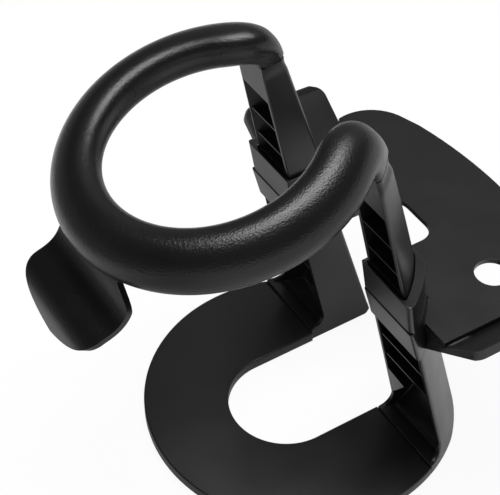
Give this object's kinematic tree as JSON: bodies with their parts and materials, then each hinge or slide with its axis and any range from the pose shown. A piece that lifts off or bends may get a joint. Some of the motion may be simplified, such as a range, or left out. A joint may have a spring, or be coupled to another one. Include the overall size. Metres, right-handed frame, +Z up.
{
  "type": "headphone stand",
  "caption": "Ring-topped headset and headphone stand on two leaning channel legs with a slotted round base, rear shelf, side hooks and a front rest.",
  "frame": {"origin": "on the floor under the middle of the stand's overall box, close to the middle of the round end of the base's slot", "axes": "+X towards the right leg, +Y towards the back with the shelf, +Z up"},
  "size_m": [0.2154, 0.266, 0.2354],
  "materials": {
    "abs": "satin moulded",
    "grained_abs": "fine spark-eroded grain",
    "rubber": "matte",
    "steel": "zinc plated"
  },
  "bodies": {
    "base_frame": {"base_plate": "abs", "rubber_feet": "rubber", "foot_screws": "steel", "left_lower_leg": "abs", "right_lower_leg": "abs", "left_socket": "abs", "right_socket": "abs", "socket_screws": "steel", "rear_shelf": "abs", "shelf_screws": "steel", "left_side_hook": "abs", "right_side_hook": "abs", "hook_screws": "steel"},
    "ring_frame": {"left_upper_leg": "abs", "right_upper_leg": "abs", "ring_upper_shell": "grained_abs", "ring_lower_shell": "grained_abs", "front_rest": "abs"}
  },
  "joints": [
    {"name": "ring_frame_lift", "type": "slide", "parent": "base_frame", "child": "ring_frame", "axis": [0, -0.2639, 0.9646], "range_m": [0, 0.012]}
  ]
}
